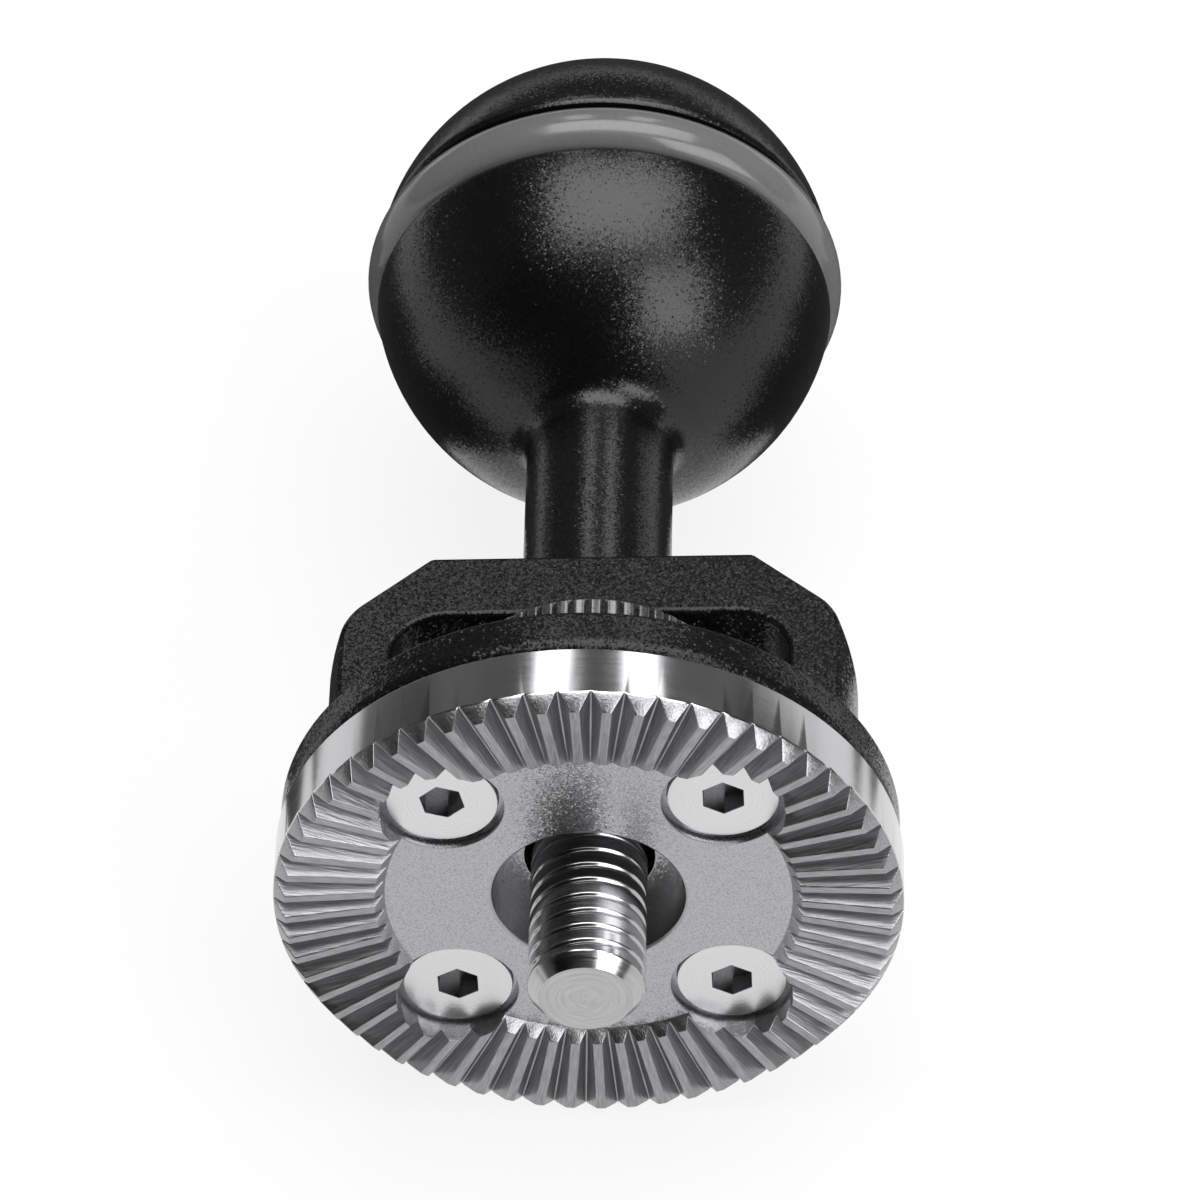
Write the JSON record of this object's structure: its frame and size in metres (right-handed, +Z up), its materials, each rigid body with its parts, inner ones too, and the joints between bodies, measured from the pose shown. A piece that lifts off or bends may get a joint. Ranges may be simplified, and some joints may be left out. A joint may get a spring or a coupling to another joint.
{
  "type": "ball head",
  "caption": "Ball head with a rubber-ringed ball on a stem, a window yoke and a toothed steel rosette clamped by a captive threaded stud turned with a knurled wheel.",
  "frame": {"origin": "centre of the rosette, on the stud's axis, in the plane of the tooth tips", "axes": "-Y out of the rosette along the stud, +Y through the yoke and stem to the ball, +Z up, square to the yoke's flats"},
  "size_m": [0.0318, 0.0628, 0.0318],
  "materials": {
    "rosette_steel": "stainless, milled teeth and a fine matte floor",
    "screw_steel": "stainless, satin",
    "yoke_black": "black anodised over a fine blasted grain",
    "ball_black": "black anodised over a fine blasted grain",
    "ring_rubber": "grey moulded rubber, half gloss",
    "stem_screw_steel": "black oxide",
    "stud_steel": "stainless, polished thread and turned end",
    "wheel_steel": "stainless, straight knurl",
    "pin_steel": "ground",
    "washer_plastic": "black acetal"
  },
  "bodies": {
    "frame": {"yoke_frame": "yoke_black", "ball_stem": "ball_black", "ball_o_ring": "ring_rubber", "stem_screw": "stem_screw_steel", "rosette_plate": "rosette_steel", "rosette_screw_1": "screw_steel", "rosette_screw_2": "screw_steel", "rosette_screw_3": "screw_steel", "rosette_screw_4": "screw_steel"},
    "thrust_washer": {"thrust_washer": "washer_plastic"},
    "thumb_screw": {"thumb_wheel": "wheel_steel", "clamp_stud": "stud_steel", "wheel_pin": "pin_steel"}
  },
  "joints": [
    {"name": "stud_slide", "type": "slide", "parent": "frame", "child": "thrust_washer", "axis": [0, 1, 0], "range_m": [0, 0.00105]},
    {"name": "wheel_turn", "type": "hinge", "parent": "thrust_washer", "child": "thumb_screw", "pos_m": [0, 0.011, 0], "axis": [0, 1, 0], "continuous": true}
  ]
}
